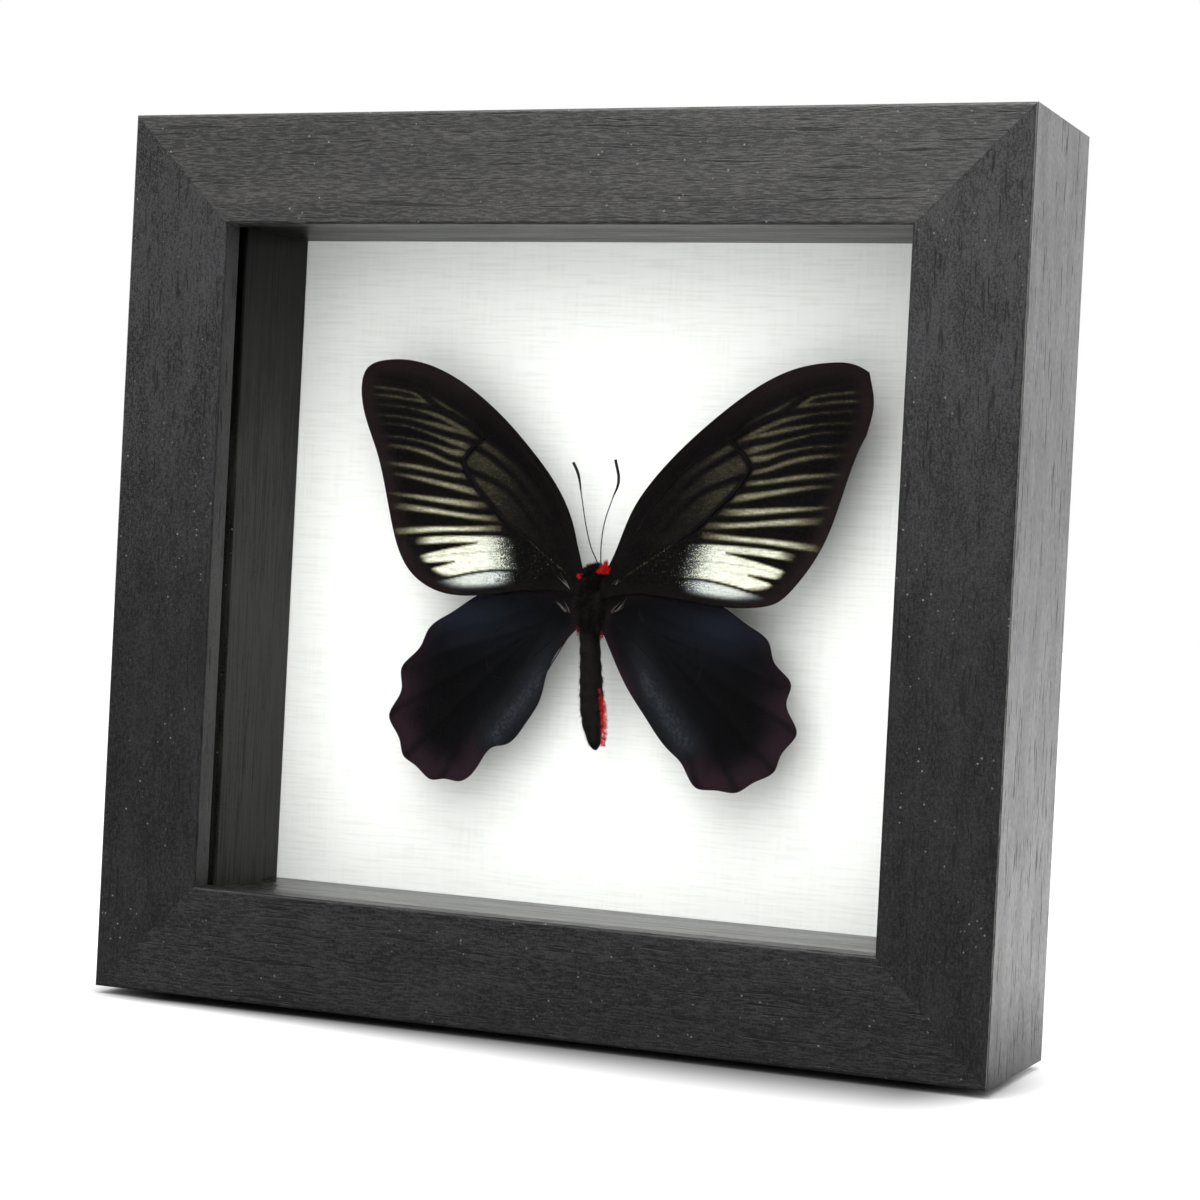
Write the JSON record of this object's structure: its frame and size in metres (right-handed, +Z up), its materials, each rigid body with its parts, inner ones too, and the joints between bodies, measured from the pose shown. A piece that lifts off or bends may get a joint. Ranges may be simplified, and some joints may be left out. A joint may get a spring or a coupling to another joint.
{
  "type": "butterfly display case",
  "caption": "Glazed wooden box frame with a spread butterfly pinned before a white card, a lift-out back held by turn buttons, and a sawtooth hanger.",
  "frame": {"origin": "middle of the flat base face, halfway through the depth of the rails", "axes": "+X to the right seen from the front, +Y to the back, +Z up"},
  "size_m": [0.15, 0.036, 0.1425],
  "materials": {
    "stained_wood": "black stain on open grained wood, satin",
    "spacer_wood": "black stain, matt",
    "bright_steel": "bright",
    "zinc_steel": "zinc plated",
    "clear_glass": "clear",
    "hardboard": "smooth face, raw edges",
    "linen_card": "white, linen embossed",
    "white_foam": "fine closed cells",
    "insect_body": "short dense hair",
    "insect_eye": "gloss",
    "forewing_scales": "dry wing scales",
    "hindwing_scales": "dry wing scales with a faint blue sheen"
  },
  "bodies": {
    "frame": {"top_rail": "stained_wood", "bottom_rail": "stained_wood", "left_rail": "stained_wood", "right_rail": "stained_wood", "top_spacer": "spacer_wood", "bottom_spacer": "spacer_wood", "left_spacer": "spacer_wood", "right_spacer": "spacer_wood", "corner_v_nails": "bright_steel", "glass_pane": "clear_glass", "turn_button_screws": "bright_steel", "sawtooth_hanger": "zinc_steel", "hanger_nails": "bright_steel"},
    "back_unit": {"back_panel": "hardboard", "backing_card": "linen_card", "foam_block": "white_foam", "mounting_pin": "bright_steel", "thorax": "insect_body", "head": "insect_body", "eyes": "insect_eye", "abdomen": "insect_body", "left_forewing": "forewing_scales", "right_forewing": "forewing_scales", "left_hindwing": "hindwing_scales", "right_hindwing": "hindwing_scales", "left_antenna": "insect_body", "right_antenna": "insect_body"},
    "upper_left_button": {"upper_left_turn_button": "zinc_steel"},
    "lower_left_button": {"lower_left_turn_button": "zinc_steel"},
    "upper_right_button": {"upper_right_turn_button": "zinc_steel"},
    "lower_right_button": {"lower_right_turn_button": "zinc_steel"}
  },
  "joints": [
    {"name": "back_slide", "type": "slide", "parent": "frame", "child": "back_unit", "axis": [0, 1, 0], "range_m": [0, 0.06]},
    {"name": "upper_left_turn", "type": "hinge", "parent": "frame", "child": "upper_left_button", "pos_m": [-0.07, 0.0166, 0.1025], "axis": [0, 1, 0], "range_deg": [0, 90]},
    {"name": "lower_left_turn", "type": "hinge", "parent": "frame", "child": "lower_left_button", "pos_m": [-0.07, 0.0166, 0.04], "axis": [0, -1, 0], "range_deg": [0, 90]},
    {"name": "upper_right_turn", "type": "hinge", "parent": "frame", "child": "upper_right_button", "pos_m": [0.07, 0.0166, 0.1025], "axis": [0, -1, 0], "range_deg": [0, 90]},
    {"name": "lower_right_turn", "type": "hinge", "parent": "frame", "child": "lower_right_button", "pos_m": [0.07, 0.0166, 0.04], "axis": [0, 1, 0], "range_deg": [0, 90]}
  ]
}
